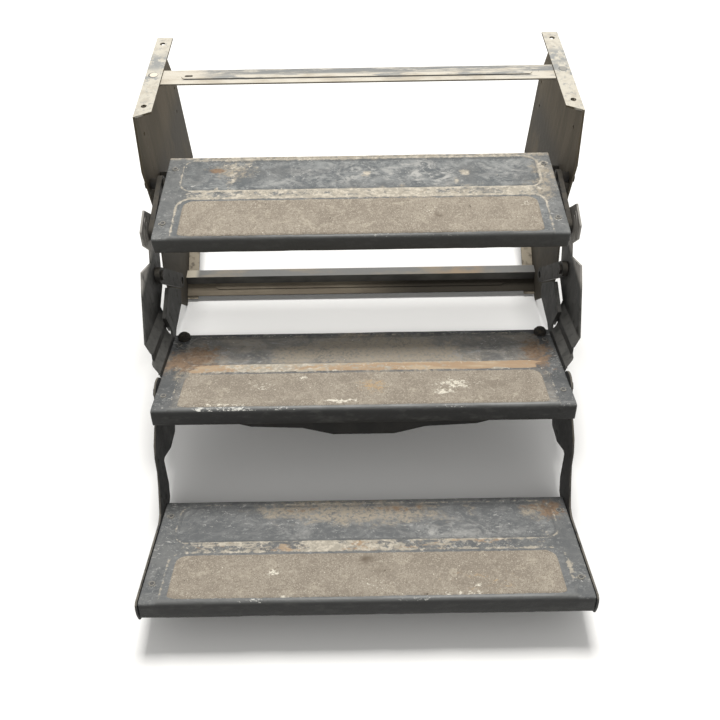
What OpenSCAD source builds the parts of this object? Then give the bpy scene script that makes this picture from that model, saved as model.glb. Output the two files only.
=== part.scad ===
// Triple-tread folding entry step for a caravan or camper doorway.
// Z is up, X runs along the treads, +Y points in under the vehicle floor.
// The drawn pose has the two lower treads resting partly folded on level ground.

/* [Treads] */
// Length of each tread from side to side
tread_width = 610; // [450:5:760]
// Depth of each tread from nose to heel
tread_depth = 199; // [170:1:240]
// Height of the turned-down lip around each tread
lip_height = 26; // [20:1:30]
// Radius of the rolled front nose
nose_radius = 10; // [6:1:14]
// Sheet thickness of the treads
tread_sheet = 2.5; // [2:0.1:3]
// Depth of the two pressed recesses in each tread
recess_depth = 1.2; // [0.6:0.1:1.5]
// Width of the plain rim left beside the recesses
rim_width = 26; // [18:1:32]
// Depth of the grit strip, nose to heel
grip_depth = 78; // [40:1:82]
// Width of the raised band between the two recesses
band_width = 24; // [8:1:30]
// Thickness of the grit strip
grip_thickness = 1.4; // [0.8:0.1:2]
// Diameter of the tread rivet heads
rivet_diameter = 9; // [6:0.5:12]

/* [Step spacing] */
// Horizontal distance from the middle nose to the top nose
middle_run = 202; // [180:1:230]
// Height from the middle nose to the top nose
middle_rise = 144; // [125:1:165]
// Nose-up tilt of the middle tread
middle_tilt = 14.9; // [8:0.1:20]
// Horizontal distance from the bottom nose to the middle nose
bottom_run = 242; // [215:1:270]
// Height from the bottom nose to the middle nose
bottom_rise = 101; // [85:1:125]
// Nose-up tilt of the bottom tread
bottom_tilt = 18.4; // [10:0.1:24]

/* [Housing] */
// Clearance from each tread end to the inner face of a side plate
side_gap = 32; // [30:0.5:42]
// Thickness of the side plates
plate_sheet = 3; // [2:0.5:4]
// Height of the mounting flange above the top tread
flange_rise = 90; // [70:1:130]
// Width of the mounting flange
flange_width = 26; // [22:1:34]
// Reach of the side plates behind the front link pivot
housing_reach = 302; // [280:1:340]
// Height of the plate's back corner above the ground
back_corner_height = 142; // [110:1:170]
// Distance between the front and rear mounting holes
hole_pitch = 188; // [150:1:200]
// Diameter of the mounting holes
hole_diameter = 9; // [6:0.5:11]
// Width of the two beaded back straps
strap_width = 41; // [30:1:44]

/* [Linkage] */
// Distance between the pivots of each swing link
link_length = 104; // [96:1:112]
// Width of the link bars
link_width = 25; // [22:1:28]
// Thickness of the link bars
link_sheet = 8; // [4:0.5:9]
// Clearance between the front and rear links at the top of the swing
link_clearance = 3; // [2:0.5:6]
// Diameter of the pivot bolts
pivot_diameter = 10; // [8:0.5:12]
// Diameter of the collars and nuts on the pivots
collar_diameter = 17; // [15:0.5:20]
// Thickness of the riser plates and bottom arms
arm_sheet = 3; // [2.5:0.5:3.5]

/* [Hidden] */
$fn = 48;
fit_gap = 0.08;
end_gap = 0.3;
half_tread = tread_width/2;
band_start = nose_radius + grip_depth + 2;
plate_in = half_tread + side_gap;
plate_out = plate_in + plate_sheet;
pivot_r = pivot_diameter/2;
collar_r = collar_diameter/2;
link_r = link_width/2;
rear_shift = [0.58*link_length, -(link_width + link_clearance + 4)];
bore_r = pivot_r + fit_gap;

// layers along X, counted outward from a tread end
bracket_in = half_tread - tread_sheet - 3;
arm_in = half_tread + 0.5;
arm_out = arm_in + arm_sheet;
gusset_in = half_tread + arm_sheet;
gusset_out = gusset_in + arm_sheet;
link_in = half_tread + 11.5;
link_out = link_in + link_sheet;
riser_in = link_out + 1;
riser_out = riser_in + arm_sheet;
riser_mid = (half_tread + riser_in)/2;
fold_low = 8;
fold_mid_low = 18;
fold_mid_high = 31;
fold_high = 44;

// places in the side view, as [Y, Z]
front_reach = middle_run + bottom_run + lip_height*sin(bottom_tilt);
link_angle = 7.8;
pivot_s_offset = [65, -42];
back_of_top = pivot_s_offset[0] + link_length*cos(link_angle) + housing_reach;
top_y = (front_reach - back_of_top)/2;
heel_drop = tread_depth*sin(bottom_tilt) + lip_height*cos(bottom_tilt);
top_nose = [top_y, middle_rise + bottom_rise + heel_drop];
mid_nose = top_nose - [middle_run, middle_rise];
low_nose = mid_nose - [bottom_run, bottom_rise];
pivot_s = top_nose + pivot_s_offset;
pivot_p = pivot_s + link_length*[cos(link_angle), sin(link_angle)];
pivot_q = pivot_s + rear_shift;
pivot_p2 = pivot_p + rear_shift;
pivot_r_low = pivot_p + [-35, -184];
pivot_f = pivot_s + [-29, -63];
flange_top = top_nose[1] + flange_rise;
flange_front = pivot_p[0] + 6;
plate_back = pivot_p[0] + housing_reach;
flange_back = plate_back - 58;
hole_mid = (flange_front + flange_back)/2 + 4.2;
foot_back = pivot_p[0] + 28;
foot_front = foot_back - 9;
slant = atan2(back_corner_height, plate_back - foot_back);
slant_length = sqrt(pow(back_corner_height, 2) + pow(plate_back - foot_back, 2));

function tip(o, tilt, a, u) = [o[0] + a*cos(tilt) + u*sin(tilt), o[1] - a*sin(tilt) + u*cos(tilt)];
function mid(a, u) = tip(mid_nose, middle_tilt, a, u);
function low(a, u) = tip(low_nose, bottom_tilt, a, u);
function arc(c, r, a0, a1, n) = [for (i = [0:n]) c + r*[cos(a0 + (a1 - a0)*i/n), sin(a0 + (a1 - a0)*i/n)]];
function around(c, list) = [for (p = list) c + p];
pivot_b = mid(62, -14);

// side-view outline extruded along X between x0 and x1
module slab(x0, x1) {
  translate([x0, 0, 0])
    rotate([90, 0, 90])
      linear_extrude(height = x1 - x0)
        children();
}

// a round bar along X at a side-view place
module rod(p, x0, x1, r) {
  translate([x0, p[0], p[1]])
    rotate([0, 90, 0])
      cylinder(h = x1 - x0, r = r);
}

module hex_rod(p, x0, x1, r) {
  translate([x0, p[0], p[1]])
    rotate([0, 90, 0])
      cylinder(h = x1 - x0, r = r, $fn = 6);
}

// the same piece on the right and on the left
module both_sides() {
  children();
  mirror([1, 0, 0])
    children();
}

module at_side(s) {
  if (s > 0)
    children();
  else
    mirror([1, 0, 0])
      children();
}

// a piece drawn level at a tread's nose, moved to its place
module place(o, tilt) {
  translate([0, o[0], o[1]])
    rotate([-tilt, 0, 0])
      children();
}

// housing

module side_plate() {
  py = pivot_p[0];
  outline = [
    [flange_front, flange_top],
    [py - 23, flange_top - 79.5],
    [py - 17, flange_top - 136],
    [py - 12, flange_top - 185],
    [py - 52, flange_top - 265],
    [py - 60, flange_top - 320],
    [py - 30, flange_top - 362],
    [foot_front, 0],
    [foot_back, 0],
    [plate_back, back_corner_height],
    [plate_back - 8, flange_top - 114],
    [flange_back, flange_top]
  ];
  difference() {
    union() {
      slab(plate_in, plate_out)
        polygon(outline);
      translate([plate_out, 0, flange_top - plate_sheet])
        linear_extrude(height = plate_sheet)
          polygon([
            [0, flange_front], [0, flange_back], [-flange_width, flange_back],
            [-flange_width, flange_front + 14]
          ]);
      translate([0, foot_back, 0])
        rotate([slant, 0, 0])
          translate([plate_out - 23, 6, 0])
            cube([22, slant_length - 12, plate_sheet]);
    }
    for (s = [-1, 1])
      translate([plate_out - 12, hole_mid + s*hole_pitch/2, flange_top - 10])
        cylinder(h = 20, d = hole_diameter);
    rod(pivot_p, plate_in - 5, plate_out + 5, bore_r);
    rod(pivot_p2, plate_in - 5, plate_out + 5, bore_r);
    rod(pivot_r_low, plate_in - 5, plate_out + 5, bore_r);
    rod([plate_back - 30, flange_top - 110], plate_in - 5, plate_out + 5, 3);
    rod([plate_back - 48, flange_top - 147], plate_in - 5, plate_out + 5, 3);
    rod([py + 32, flange_top - 46], plate_in - 5, plate_out + 5, 3);
  }
}

// flat bar with one long pressed bead, drawn lying flat with its front edge on Y = 0
module beaded_strap(x0, x1, left_end, right_end) {
  mid_y = strap_width/2;
  translate([x0, 0, 0])
    cube([x1 - x0, strap_width, 3]);
  translate([left_end, mid_y - 8, 3])
    cube([right_end - left_end, 16, 1.6]);
  for (x = [left_end, right_end])
    translate([x, mid_y, 3])
      cylinder(h = 1.6, r = 8);
}

module top_back_strap() {
  color([0.88, 0.85, 0.78])
    difference() {
      translate([0, flange_front + 96, flange_top - plate_sheet - 3])
        beaded_strap(-plate_in, plate_in, -(plate_in - 62), plate_in - 66);
      for (x = [-4, 4])
        translate([x - plate_in + 66, flange_front + 96 + strap_width/2, flange_top - 20])
          cylinder(h = 40, r = 2.5);
      translate([62 - plate_in, flange_front + 93.5 + strap_width/2, flange_top - 20])
        cube([8, 5, 40]);
    }
}

module lower_back_strap() {
  color([0.30, 0.28, 0.26])
    translate([0, foot_back, 0])
      rotate([slant, 0, 0])
        translate([0, 11, plate_sheet])
          beaded_strap(-plate_in, plate_in, -(plate_in - 62), plate_in - 66);
}

// steel angle laid level above the lower strap
module lower_cross_bar() {
  y = foot_back + 27;
  z = 27*tan(slant) + (plate_sheet + 4.6)/cos(slant) + 0.02;
  color([0.33, 0.32, 0.30])
    slab(-plate_in, plate_in)
      polygon([
        [y, z], [y + 3, z + 3*tan(slant)], [y + 3, z + 15], [y + 20, z + 15], [y + 20, z + 18],
        [y, z + 18]
      ]);
}

module link_anchor_bolts() {
  color([0.25, 0.25, 0.24])
    both_sides()
      for (p = [pivot_p, pivot_p2]) {
        hex_rod(p, plate_out, plate_out + 6, collar_r);
        rod(p, link_in - 4, plate_out + 1, pivot_r);
        rod(p, link_out + end_gap, plate_in, collar_r);
        hex_rod(p, link_in - 4.5, link_in - end_gap, collar_r);
      }
}

module control_anchor_bolts() {
  color([0.25, 0.25, 0.24])
    both_sides() {
      hex_rod(pivot_r_low, plate_out, plate_out + 6, collar_r);
      rod(pivot_r_low, plate_in - 8, plate_out + 1, pivot_r);
      rod(pivot_r_low, plate_in - 6, plate_in, collar_r);
    }
}

// links

module link_bar(p, q, x0, hole_q) {
  run = q - p;
  turn = atan2(run[1], run[0]);
  slab(x0, x0 + link_sheet)
    difference() {
      polygon(concat(
        arc(q, link_r, turn - 90, turn + 90, 14),
        arc(p, link_r, turn + 90, turn + 270, 14)
      ));
      translate(p)
        circle(r = bore_r);
      translate(q)
        circle(r = hole_q);
    }
}

module swing_link(p, q) {
  color([0.20, 0.20, 0.19])
    link_bar(p, q, link_in, bore_r);
}

module control_link() {
  color([0.18, 0.18, 0.17])
    link_bar(pivot_f, pivot_r_low, link_in, bore_r + 1.5);
}

// treads, drawn level with the nose line on the X axis

module tread_outline() {
  polygon(concat(
    [[0, -lip_height]],
    arc([nose_radius, -nose_radius], nose_radius, 180, 90, 8),
    arc([tread_depth - 6, -6], 6, 90, 0, 5),
    [[tread_depth, -lip_height]]
  ));
}

module tread_section() {
  t = tread_sheet;
  r = nose_radius;
  polygon(concat(
    [[9, -lip_height], [0, -lip_height]],
    arc([r, -r], r, 180, 90, 8),
    arc([tread_depth - 6, -6], 6, 90, 0, 5),
    [[tread_depth, -lip_height], [tread_depth - t, -lip_height]],
    arc([tread_depth - 6, -6], 6 - t, 0, 90, 5),
    arc([r, -r], r - t, 90, 180, 8),
    [[t, t - lip_height], [9, t - lip_height]]
  ));
}

// outline with rounded corners at the back, and at the front too when front_r is above 0
module pad(half_w, a0, a1, r, front_r) {
  w = half_w;
  polygon(concat(
    arc([w - r, a1 - r], r, 0, 90, 8),
    arc([r - w, a1 - r], r, 90, 180, 8),
    front_r > 0 ? arc([front_r - w, a0 + front_r], front_r, 180, 270, 8) : [[-w, a0]],
    front_r > 0 ? arc([w - front_r, a0 + front_r], front_r, 270, 360, 8) : [[w, a0]]
  ));
}

module tread_pan(half_w) {
  recess_half = half_tread - rim_width;
  difference() {
    union() {
      slab(-half_w, half_w)
        tread_section();
      slab(-half_w, tread_sheet - half_w)
        tread_outline();
      slab(half_w - tread_sheet, half_w)
        tread_outline();
    }
    translate([0, 0, -recess_depth])
      linear_extrude(height = 5)
        pad(recess_half, band_start + band_width, tread_depth - 13, 15, 15);
    translate([0, 0, -recess_depth])
      linear_extrude(height = 5)
        pad(recess_half, nose_radius, band_start, 15, 0);
  }
}

module grip_strip() {
  translate([0, 0, -recess_depth])
    linear_extrude(height = grip_thickness)
      pad(half_tread - rim_width - 10, nose_radius, nose_radius + grip_depth, 13, 0);
}

module rivets() {
  for (x = [-1, 1], a = [36, tread_depth - 32])
    translate([x*(half_tread - 12.5), a, 0])
      difference() {
        cylinder(h = 1.2, d = rivet_diameter);
        translate([0, 0, 0.5])
          cylinder(h = 2, d = 0.45*rivet_diameter);
      }
}

module tread_bracket() {
  q = pivot_s_offset + rear_shift;
  color([0.20, 0.20, 0.19])
    difference() {
      slab(bracket_in, bracket_in + 3)
        polygon(around(top_nose, [
          [42, -tread_sheet], [38, -34], [46, -57], [66, -62], q + [-20, -8], q + [-9, -16],
          q + [9, -16], q + [17, -7], q + [21, 22], [tread_depth - 26, -lip_height - 8],
          [tread_depth - tread_sheet, -lip_height - 2], [tread_depth - tread_sheet, -lip_height],
          [tread_depth - 8, -8], [tread_depth - 12, -tread_sheet]
        ]));
      rod(pivot_s, bracket_in - 5, bracket_in + 9, bore_r);
      rod(pivot_q, bracket_in - 5, bracket_in + 9, bore_r);
    }
}

module top_pivot_bolts() {
  color([0.25, 0.25, 0.24])
    both_sides() {
      hex_rod(pivot_s, bracket_in - 5, bracket_in, collar_r);
      rod(pivot_s, bracket_in - 1, riser_out + 2, pivot_r);
      rod(pivot_s, bracket_in + 3, link_in - end_gap, collar_r - 1);
      rod(pivot_s, link_out + end_gap, riser_in - end_gap, collar_r);
      hex_rod(pivot_s, riser_out + end_gap, riser_out + 5, collar_r);
      hex_rod(pivot_q, bracket_in - 5, bracket_in, collar_r);
      rod(pivot_q, bracket_in - 1, link_out + 2, pivot_r);
      rod(pivot_q, bracket_in + 3, link_in - end_gap, collar_r - 1);
      hex_rod(pivot_q, link_out + end_gap, link_out + 5.5, collar_r);
    }
}

// middle step

// part of the riser plate that stands outside the links, above the fold line
module riser_upper() {
  s = pivot_s;
  polygon([
    s + [4, 40], s + [-35, 30], s + [-40, 8], s + [-19, -19], s + [-32, -34], s + [-79, -9],
    s + [-102, -29], mid(107, fold_high), mid(214, fold_high), s + [-12, -102], s + [15, -62],
    s + [50, -11]
  ]);
}

// raised pressed ribs round the pivot, on the inner side of the upper lobe
module riser_ribs() {
  for (r = [20, 29])
    slab(riser_in - 0.8, riser_in + 1)
      polygon(concat(
        arc(pivot_s, r + 3, 95, 180, 12),
        arc(pivot_s, r, 180, 95, 12)
      ));
}

// web with two sloping steps that joins the lower and upper parts of the riser plate
module riser_joggle() {
  h = half_tread;
  t = arm_sheet;
  intersection() {
    place(mid_nose, middle_tilt)
      translate([0, 240, 0])
        rotate([90, 0, 0])
          linear_extrude(height = 180)
            polygon([
              [h, fold_low - 3], [h + t, fold_low - 3], [h + t, fold_low - 1],
              [riser_mid + t, fold_mid_low - 1], [riser_mid + t, fold_mid_high - 1],
              [riser_out, fold_high - 1], [riser_out, fold_high + 3], [riser_in, fold_high + 3],
              [riser_in, fold_high], [riser_mid, fold_mid_high], [riser_mid, fold_mid_low],
              [h, fold_low]
            ]);
    slab(h - 1, riser_out + 1)
      polygon([
        mid(80, fold_low - 4), mid(180, fold_low - 4), mid(184, fold_mid_low - 4),
        mid(190, fold_mid_low + 1), mid(200, fold_mid_high), mid(214, fold_high),
        mid(219, fold_high + 4), mid(110, fold_high + 4), mid(99, fold_mid_high + 1),
        mid(98, fold_mid_low + 2), mid(88, fold_mid_low - 3)
      ]);
  }
}

module riser_plate() {
  color([0.19, 0.19, 0.18])
    difference() {
      union() {
        slab(riser_in, riser_out)
          riser_upper();
        riser_joggle();
        slab(half_tread, half_tread + arm_sheet)
          polygon([
            mid(82, fold_low), mid(94, -20), mid(tread_depth - 5, -20), mid(tread_depth - 5, -4),
            mid(180, fold_low)
          ]);
        riser_ribs();
      }
      rod(pivot_s, riser_in - 2, riser_out + 4, bore_r);
      rod(pivot_f, riser_in - 2, riser_out + 4, bore_r);
    }
}

module heel_gusset() {
  d = tread_depth;
  color([0.20, 0.20, 0.19]) {
    slab(gusset_in, gusset_out)
      polygon([
        mid(d - 26, 47), mid(d + 21, 76), mid(d + 91, 33), mid(d + 82, 12), mid(d + 22, -3),
        mid(d + 6, -14), mid(d + 5, -19), mid(d - 13, -19), mid(d - 13, -2), mid(d - 5, 10),
        mid(d - 15, 28)
      ]);
    slab(gusset_out, gusset_out + 3.5)
      polygon([
        mid(d - 5, 10), mid(d - 15, 28), mid(d - 26, 47), mid(d + 21, 76), mid(d + 22.5, 73.5),
        mid(d - 22, 46), mid(d - 12.5, 29.2), mid(d - 2.5, 11)
      ]);
  }
}

module heel_bumpers() {
  color([0.08, 0.08, 0.08])
    place(mid_nose, middle_tilt)
      both_sides()
        translate([half_tread - 17, tread_depth - 14, 0]) {
          cylinder(h = 7, r = 10);
          translate([0, 0, 7])
            cylinder(h = 3, r = 7.5);
        }
}

module middle_stiffener() {
  h = lip_height;
  w = half_tread - 75;
  color([0.17, 0.17, 0.17])
    place(mid_nose, middle_tilt)
      translate([0, max(nose_radius, 9) + 2.5, 0])
        rotate([90, 0, 0])
          linear_extrude(height = 2.5)
            polygon([
              [-w, -tread_sheet], [w, -tread_sheet], [w, 6 - h], [165, -h - 14], [90, -h - 18],
              [45, -h - 31], [-45, -h - 31], [-90, -h - 18], [-165, -h - 14], [-w, 6 - h]
            ]);
}

module control_link_bolts() {
  color([0.25, 0.25, 0.24])
    both_sides() {
      hex_rod(pivot_f, riser_out, riser_out + 5, collar_r);
      rod(pivot_f, link_in - 3, riser_out + 1, pivot_r);
      rod(pivot_f, link_out + end_gap, riser_in, collar_r);
      hex_rod(pivot_f, link_in - 4, link_in - end_gap, collar_r);
    }
}

module arm_pivot_bolts() {
  color([0.25, 0.25, 0.24])
    both_sides() {
      hex_rod(pivot_b, half_tread - tread_sheet - 5, half_tread - tread_sheet, collar_r);
      rod(pivot_b, half_tread - tread_sheet - 1, arm_out + 2, pivot_r);
      hex_rod(pivot_b, arm_out + end_gap, arm_out + 5, collar_r);
    }
}

// side arm of the bottom tread, running forward along the tread's end
module bottom_arm() {
  heel = tread_depth;
  b = pivot_b;
  color([0.21, 0.21, 0.20])
    difference() {
      union() {
        slab(arm_in, arm_out)
          polygon([
            low(1, -3), low(-0.8, -9), low(-0.6, -19), low(1, 0.5 - lip_height),
            low(3.5, -7 - lip_height), low(8, -9 - lip_height), low(15, -7.5 - lip_height),
            low(32, -3 - lip_height), low(heel, 2 - lip_height), low(heel + 7, -15),
            low(heel + 19, -7), low(heel + 26, 16), low(heel + 24, 62), low(heel + 30, 64),
            low(heel + 68, 52), low(heel + 104, 57), low(heel + 116, 74), low(heel + 108, 112),
            b + [26, -12], b + [8, 8], b + [-8, 8], b + [-20, -2],
            low(heel + 14, 130), low(heel - 3, 111), low(heel - 10, 92), low(heel - 11, 68),
            low(heel - 19, 46), low(heel - 29, 24), low(heel - 37, 9), low(heel - 50, 2), low(6, 0)
          ]);
        rod(b, arm_in, arm_out, 23);
      }
      rod(b, arm_in - 2, arm_out + 2, bore_r);
    }
}

module middle_tread() {
  color([0.42, 0.43, 0.44])
    difference() {
      place(mid_nose, middle_tilt)
        tread_pan(half_tread);
      both_sides()
        rod(pivot_b, half_tread - 10, half_tread + 5, bore_r);
    }
}

color([0.36, 0.32, 0.28]) at_side(-1) side_plate();  // left_side_plate
color([0.36, 0.32, 0.28]) at_side(1) side_plate();  // right_side_plate
top_back_strap();
lower_back_strap();
lower_cross_bar();
link_anchor_bolts();
control_anchor_bolts();
at_side(-1) swing_link(pivot_s, pivot_p);  // left_front_link
at_side(1) swing_link(pivot_s, pivot_p);  // right_front_link
at_side(-1) swing_link(pivot_q, pivot_p2);  // left_rear_link
at_side(1) swing_link(pivot_q, pivot_p2);  // right_rear_link
color([0.42, 0.43, 0.44]) place(top_nose, 0) tread_pan(half_tread);  // top_tread
color([0.62, 0.57, 0.50]) place(top_nose, 0) grip_strip();  // top_grip_strip
color([0.45, 0.45, 0.44]) place(top_nose, 0) rivets();  // top_tread_rivets
at_side(-1) tread_bracket();  // left_tread_bracket
at_side(1) tread_bracket();  // right_tread_bracket
top_pivot_bolts();
middle_tread();
color([0.62, 0.57, 0.50]) place(mid_nose, middle_tilt) grip_strip();  // middle_grip_strip
color([0.45, 0.45, 0.44]) place(mid_nose, middle_tilt) rivets();  // middle_tread_rivets
middle_stiffener();
at_side(-1) riser_plate();  // left_riser_plate
at_side(1) riser_plate();  // right_riser_plate
at_side(-1) heel_gusset();  // left_heel_gusset
at_side(1) heel_gusset();  // right_heel_gusset
heel_bumpers();
control_link_bolts();
arm_pivot_bolts();
at_side(-1) control_link();  // left_control_link
at_side(1) control_link();  // right_control_link
color([0.42, 0.43, 0.44]) place(low_nose, bottom_tilt) tread_pan(half_tread + 0.5);  // bottom_tread
color([0.62, 0.57, 0.50]) place(low_nose, bottom_tilt) grip_strip();  // bottom_grip_strip
color([0.45, 0.45, 0.44]) place(low_nose, bottom_tilt) rivets();  // bottom_tread_rivets
at_side(-1) bottom_arm();  // left_bottom_arm
at_side(1) bottom_arm();  // right_bottom_arm
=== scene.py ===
import math

import bmesh
import bpy
import numpy as np
from mathutils import Matrix, Vector


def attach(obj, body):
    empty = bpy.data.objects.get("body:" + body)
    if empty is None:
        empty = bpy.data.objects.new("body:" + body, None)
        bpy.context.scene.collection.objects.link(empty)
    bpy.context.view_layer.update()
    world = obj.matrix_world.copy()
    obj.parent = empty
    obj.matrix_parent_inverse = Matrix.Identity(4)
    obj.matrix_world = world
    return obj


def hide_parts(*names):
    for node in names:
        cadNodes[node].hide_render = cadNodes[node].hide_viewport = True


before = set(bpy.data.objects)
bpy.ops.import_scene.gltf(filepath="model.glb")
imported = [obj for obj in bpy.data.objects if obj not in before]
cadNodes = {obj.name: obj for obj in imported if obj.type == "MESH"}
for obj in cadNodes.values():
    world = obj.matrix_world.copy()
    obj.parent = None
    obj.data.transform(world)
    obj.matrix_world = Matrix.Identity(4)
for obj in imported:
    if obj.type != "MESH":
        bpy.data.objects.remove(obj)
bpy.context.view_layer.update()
print("frame loaded,", len(cadNodes), "nodes")


# camera, light and floor

photoView = {
    "spot": (-0.0041, -0.8476, 1.0660),  # metres
    "down": 50.40,  # degrees below level
    "roll": 0.914,
    "lens": 38.0,
    "sensor": 36.0,
    "near": 0.05,
}

light = {
    "sky": 0.52,
    "skyColour": (1.0, 0.99, 0.97, 1.0),
    "lamp": 212.0,  # watts
    "lampColour": (1.0, 0.985, 0.96),
    "lampSize": 1.1,
    "lampSpot": (0.03, 1.8, 4.5),
    "lampAim": (0.0, -0.1, 0.2),
}

ground = {
    "colour": (250, 250, 249),
    "halfSide": 9.0,
    "height": -0.0006,  # just under the lowest points
}


def linear(colour):
    # sRGB numbers 0-255 to the linear values that sockets take
    c = np.array(colour, float) / 255
    c = np.where(c <= 0.04045, c / 12.92, ((c + 0.055) / 1.055) ** 2.4)
    return (float(c[0]), float(c[1]), float(c[2]), 1.0)


def placeCamera(v):
    # axes of a camera that looks along +Y, tipped down and then rolled
    down, roll = math.radians(v["down"]), math.radians(v["roll"])
    ahead = Vector((0, math.cos(down), -math.sin(down)))
    level = Vector((1, 0, 0))
    rise = Vector((0, math.sin(down), math.cos(down)))
    right = level * math.cos(roll) - rise * math.sin(roll)
    up = level * math.sin(roll) + rise * math.cos(roll)
    data = bpy.data.cameras.new("photoCamera")
    data.lens = v["lens"]
    data.sensor_width = v["sensor"]
    data.clip_start = v["near"]
    camera = bpy.data.objects.new("photoCamera", data)
    bpy.context.scene.collection.objects.link(camera)
    turn = Matrix((right, up, -ahead)).transposed().to_4x4()
    camera.matrix_world = Matrix.Translation(v["spot"]) @ turn
    bpy.context.scene.camera = camera


def setLight(v):
    # a soft sky lights the object, while camera, glossy and transmission rays see plain white
    world = bpy.data.worlds.new("softSky")
    bpy.context.scene.world = world
    world.use_nodes = True
    tree = world.node_tree
    tree.nodes.clear()
    sky = tree.nodes.new("ShaderNodeBackground")
    sky.inputs["Color"].default_value = v["skyColour"]
    sky.inputs["Strength"].default_value = v["sky"]
    seen = tree.nodes.new("ShaderNodeBackground")
    seen.inputs["Color"].default_value = (1, 1, 1, 1)
    seen.inputs["Strength"].default_value = 1.0
    path = tree.nodes.new("ShaderNodeLightPath")
    share = path.outputs["Is Camera Ray"]
    for other in ("Is Glossy Ray", "Is Transmission Ray"):
        either = tree.nodes.new("ShaderNodeMath")
        either.operation = "MAXIMUM"
        tree.links.new(share, either.inputs[0])
        tree.links.new(path.outputs[other], either.inputs[1])
        share = either.outputs[0]
    mix = tree.nodes.new("ShaderNodeMixShader")
    out = tree.nodes.new("ShaderNodeOutputWorld")
    tree.links.new(share, mix.inputs[0])
    tree.links.new(sky.outputs[0], mix.inputs[1])
    tree.links.new(seen.outputs[0], mix.inputs[2])
    tree.links.new(mix.outputs[0], out.inputs["Surface"])
    lamp = bpy.data.lights.new("ceilingLamp", "AREA")
    lamp.shape = "SQUARE"
    lamp.size = v["lampSize"]
    lamp.energy = v["lamp"]
    lamp.color = v["lampColour"]
    holder = bpy.data.objects.new("ceilingLamp", lamp)
    bpy.context.scene.collection.objects.link(holder)
    spot = Vector(v["lampSpot"])
    aim = (Vector(v["lampAim"]) - spot).to_track_quat("-Z", "Y")
    holder.matrix_world = Matrix.Translation(spot) @ aim.to_matrix().to_4x4()


def layFloor(v):
    s, z = v["halfSide"], v["height"]
    mesh = bpy.data.meshes.new("paleFloor")
    mesh.from_pydata([(-s, -s, z), (s, -s, z), (s, s, z), (-s, s, z)], [], [(0, 1, 2, 3)])
    floor = bpy.data.objects.new("paleFloor", mesh)
    bpy.context.scene.collection.objects.link(floor)
    paint = bpy.data.materials.new("paleFloor")
    paint.use_nodes = True
    face = paint.node_tree.nodes["Principled BSDF"]
    face.inputs["Base Color"].default_value = linear(v["colour"])
    face.inputs["Roughness"].default_value = 0.95
    face.inputs["Specular IOR Level"].default_value = 0.1
    mesh.materials.append(paint)


placeCamera(photoView)
setLight(light)
layFloor(ground)
bpy.context.scene.view_settings.view_transform = "Standard"
print("camera, light and floor set")


# finishes

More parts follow.
